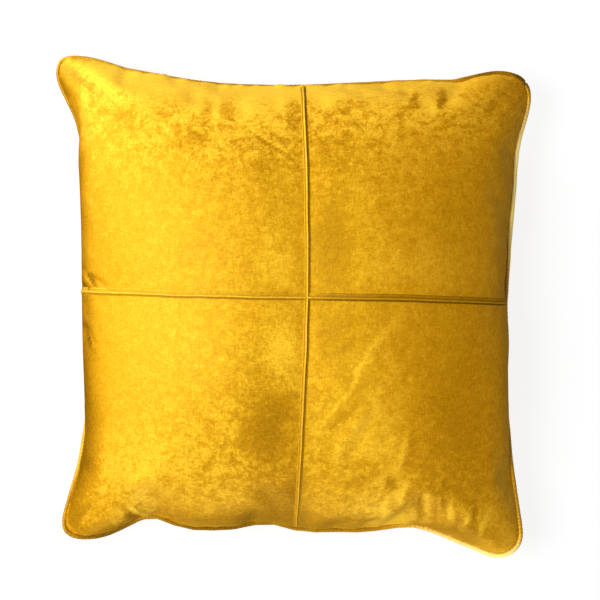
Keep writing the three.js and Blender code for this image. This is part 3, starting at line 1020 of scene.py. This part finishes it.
# The piping's palest dye is its painted highlight, on the upper right, at the lower right ear and on the tops
# of its wrinkles, and the tucks' folded pile has a stronger gloss.
COVER_VELVET = velvet("gold_velvet", ("#7a4e00", "#cb8400", "#f2ba30"), shine=0.25, gloss=0.58,
                      gloss_tint="#ccff48", sheen=0.08)
cover.data.materials.append(COVER_VELVET)
PIPING_VELVET = velvet("bias_velvet", ("#5a3a00", "#c48400", "#ffe48c"), shine=0.1, gloss=0.8,
                       gloss_tint="#fff060", sheen=0.5)
piping.data.materials.append(PIPING_VELVET)
TUCK_VELVET = velvet("folded_velvet", ("#6a4400", "#cb8400", "#f8cc58"), shine=0.25, gloss=0.8,
                     gloss_tint="#e0ff50", sheen=0.08)
for fold, _ in JOINS.values():
    fold.data.materials.append(TUCK_VELVET)
print("materials:", [material.name for material in bpy.data.materials])

# %% [markdown]
# Each tuck is held by a row of machine stitches, which sink a little into the pile. Hundreds of equal things
# on a path are work for Geometry Nodes: the path becomes evenly spaced points, and on each point sits one
# short bow of thread, turned along the path. A modelled row would fix the sizes, and the tree keeps them as
# inputs.

# %% Stitches
STITCH_SIZES = {"Pitch": 3.2, "Stitch Length": 2.5, "Thread Thickness": 0.4}
# How far the middle of a bow is pulled up, and how far its ends sink.
STITCH_RISE = 0.35
STITCH_SINK = 0.1
BOW_STEPS = 5
THREAD_FACETS = 6
# The width of a ply of the thread, and the depth between plies.
PLY_SIZE = 0.3
PLY_RELIEF = 0.05


def sewing_thread():
    """Spun polyester thread: dyed to match, with a soft gloss on its twisted plies."""
    material = bpy.data.materials.new("gold_thread")
    material.use_nodes = True
    tree = material.node_tree
    tree.nodes.clear()
    place = add_node(tree, "ShaderNodeTexCoord").outputs["Object"]
    plies = add_node(tree, "ShaderNodeTexNoise", {
        "Vector": place, "Scale": 1 / (PLY_SIZE * MM), "Detail": 1.0})
    colour = add_node(tree, "ShaderNodeMix", {
        "Factor": plies.outputs["Fac"], "A": linear("#a86c08"), "B": linear("#d09a20")}, data_type="RGBA")
    twist = add_node(tree, "ShaderNodeBump", {
        "Height": plies.outputs["Fac"], "Strength": 0.5, "Distance": PLY_RELIEF * MM})
    shader = add_node(tree, "ShaderNodeBsdfPrincipled", {
        "Base Color": colour.outputs["Result"], "Roughness": 0.6, "IOR": 1.6,
        "Specular Tint": linear("#ffd870"), "Normal": twist.outputs[0]})
    add_node(tree, "ShaderNodeOutputMaterial", {"Surface": shader.outputs[0]})
    return material


def stitch_tree():
    """A Geometry Nodes tree that sews stitches along a line of edges."""
    tree = bpy.data.node_groups.new("machine_stitches", "GeometryNodeTree")
    sockets = [("Line", "NodeSocketGeometry")] + [(label, "NodeSocketFloat") for label in STITCH_SIZES]
    for label, kind in sockets + [("Thread", "NodeSocketMaterial")]:
        tree.interface.new_socket(label, in_out="INPUT", socket_type=kind)
    tree.interface.new_socket("Stitches", in_out="OUTPUT", socket_type="NodeSocketGeometry")
    given = add_node(tree, "NodeGroupInput").outputs
    line = add_node(tree, "GeometryNodeMeshToCurve", {"Mesh": given["Line"]})
    spots = add_node(tree, "GeometryNodeCurveToPoints", {"Curve": line.outputs[0], "Length": given["Pitch"]},
                     mode="LENGTH")
    onward = add_node(tree, "FunctionNodeAlignRotationToVector", {
        "Vector": spots.outputs["Tangent"]}, axis="X")
    upright = add_node(tree, "FunctionNodeAlignRotationToVector", {
        "Rotation": onward.outputs[0], "Vector": (0, 0, 1)}, axis="Z", pivot_axis="X")
    ends = []
    for share in (-0.5, 0.5):
        half = add_node(tree, "ShaderNodeMath", {0: given["Stitch Length"], 1: share}, operation="MULTIPLY")
        ends.append(add_node(tree, "ShaderNodeCombineXYZ", {"X": half.outputs[0], "Z": -STITCH_SINK * MM}))
    bow = add_node(tree, "GeometryNodeCurveQuadraticBezier", {
        "Resolution": BOW_STEPS, "Start": ends[0].outputs[0], "Middle": (0, 0, STITCH_RISE * MM),
        "End": ends[1].outputs[0]})
    radius = add_node(tree, "ShaderNodeMath", {0: given["Thread Thickness"], 1: 0.5}, operation="MULTIPLY")
    ring = add_node(tree, "GeometryNodeCurvePrimitiveCircle", {
        "Resolution": THREAD_FACETS, "Radius": radius.outputs[0]})
    stitch = add_node(tree, "GeometryNodeCurveToMesh", {
        "Curve": bow.outputs[0], "Profile Curve": ring.outputs[0], "Fill Caps": True})
    sewn = add_node(tree, "GeometryNodeInstanceOnPoints", {
        "Points": spots.outputs["Points"], "Instance": stitch.outputs[0], "Rotation": upright.outputs[0]})
    real = add_node(tree, "GeometryNodeRealizeInstances", {"Geometry": sewn.outputs[0]})
    thread = add_node(tree, "GeometryNodeSetMaterial", {
        "Geometry": real.outputs[0], "Material": given["Thread"]})
    add_node(tree, "NodeGroupOutput", {"Stitches": thread.outputs[0]})
    return tree


def sew(name, lines):
    """Runs the tree on lines of points and keeps the result as a plain mesh."""
    edges, points = [], np.vstack(lines)
    for line in lines:
        first = edges[-1][1] + 1 if edges else 0
        edges += [(first + k, first + k + 1) for k in range(len(line) - 1)]
    mesh = bpy.data.meshes.new(name)
    mesh.from_pydata((points * MM).tolist(), edges, [])
    made = bpy.data.objects.new(name, mesh)
    bpy.context.scene.collection.objects.link(made)
    sewing = made.modifiers.new("sewing", "NODES")
    sewing.node_group = STITCH_TREE
    sockets = STITCH_TREE.interface.items_tree
    inputs = {item.name: item.identifier for item in sockets if item.in_out == "INPUT"}
    for label, size in STITCH_SIZES.items():
        sewing[inputs[label]] = size * MM
    sewing[inputs["Thread"]] = THREAD
    made.data = bpy.data.meshes.new_from_object(made.evaluated_get(bpy.context.evaluated_depsgraph_get()))
    made.modifiers.remove(sewing)
    made.data.name = name
    made.data.shade_smooth()
    print("%s: %d faces" % (name, len(made.data.polygons)))
    return made


THREAD = sewing_thread()
STITCH_TREE = stitch_tree()
stitches = sew("tuck_stitches", [line for _, line in JOINS.values()])

# %% [markdown]
# The picture is a plain studio cut-out: a pale floor, two large soft lights from the left and two weak fills.
# The camera looks straight down at the cushion's face, turned a little, from a tripod height of 1.36 m.

# %% Floor, light and camera
FLOOR_HALF = 30000.0
FLOOR_DROP = 0.3
# The floor and the surroundings give some light of their own, so that the picture's ground stays pale.
FLOOR_GLOW = 0.866
WORLD_GLOW = 0.06
LAMP_DISTANCE = 2600
LAMP_SIZE = 1300
# Each lamp: its bearing from the x axis and its tilt off vertical in degrees, its power in watts, and if
# gloss shows it.
LAMPS = {
    "window_light": (138, 75, 72, True),
    "key_light": (184, 30, 76, True),
    "flank_fill": (5, 76, 16, False),
    "front_fill": (270, 75, 30, True),
}
# The camera's height, the width that it sees at a distance, the place that it is over, and its turn.
VIEW_HEIGHT = 1358.0
VIEW_DISTANCE = 1300.0
VIEW_WIDTH = 562.5
VIEW_AIM = (9.8, 6.3)
VIEW_ROLL = 1.2


def studio_floor():
    """A pale, matt sheet under the cushion."""
    signs = ((-1, -1), (1, -1), (1, 1), (-1, 1))
    corners = [(x * FLOOR_HALF, y * FLOOR_HALF, -FLOOR_DROP) for x, y in signs]
    floor = mesh_object("studio_floor", corners, [(0, 1, 2, 3)])
    paper = bpy.data.materials.new("white_paper")
    paper.use_nodes = True
    shader = paper.node_tree.nodes["Principled BSDF"]
    shader.inputs["Base Color"].default_value = linear("#606060")
    shader.inputs["Roughness"].default_value = 0.9
    shader.inputs["Emission Color"].default_value = linear("#ffffff")
    shader.inputs["Emission Strength"].default_value = FLOOR_GLOW
    floor.data.materials.append(paper)
    floor.visible_glossy = False


def soft_box(name, bearing, tilt, power, highlights):
    """A square area light, tilted off vertical towards a bearing, that faces the cushion."""
    lamp = bpy.data.lights.new(name, "AREA")
    lamp.shape = "SQUARE"
    lamp.size = LAMP_SIZE * MM
    lamp.energy = power
    stand = bpy.data.objects.new(name, lamp)
    stand.visible_glossy = highlights
    bearing, tilt = math.radians(bearing), math.radians(tilt)
    way = Vector((math.sin(tilt) * math.cos(bearing), math.sin(tilt) * math.sin(bearing), math.cos(tilt)))
    stand.location = way * LAMP_DISTANCE * MM
    stand.rotation_euler = way.to_track_quat("Z", "Y").to_euler()
    bpy.context.scene.collection.objects.link(stand)


studio_floor()
for lamp_name, lamp_row in LAMPS.items():
    soft_box(lamp_name, *lamp_row)
print("lamps:", list(LAMPS))

world = bpy.data.worlds.new("studio")
world.use_nodes = True
surroundings = world.node_tree.nodes["Background"]
surroundings.inputs["Color"].default_value = linear("#ffffff")
surroundings.inputs["Strength"].default_value = WORLD_GLOW
bpy.context.scene.world = world
bpy.context.scene.view_settings.view_transform = "Standard"

lens = bpy.data.cameras.new("camera")
lens.angle = 2 * math.atan(VIEW_WIDTH / 2 / VIEW_DISTANCE)
camera = bpy.data.objects.new("camera", lens)
camera.location = Vector((*VIEW_AIM, VIEW_HEIGHT)) * MM
camera.rotation_euler = (0, 0, math.radians(VIEW_ROLL))
bpy.context.scene.collection.objects.link(camera)
bpy.context.scene.camera = camera
print("camera %.2f m up, sees %.0f degrees" % (camera.location.z, math.degrees(lens.angle)))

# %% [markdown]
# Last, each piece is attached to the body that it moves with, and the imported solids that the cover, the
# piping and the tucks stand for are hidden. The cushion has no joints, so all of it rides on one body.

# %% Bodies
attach(cover, "root")
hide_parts("cushion")
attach(piping, "root")
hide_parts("piping")
for node, (fold, _) in JOINS.items():
    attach(fold, "root")
    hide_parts(node)
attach(stitches, "root")
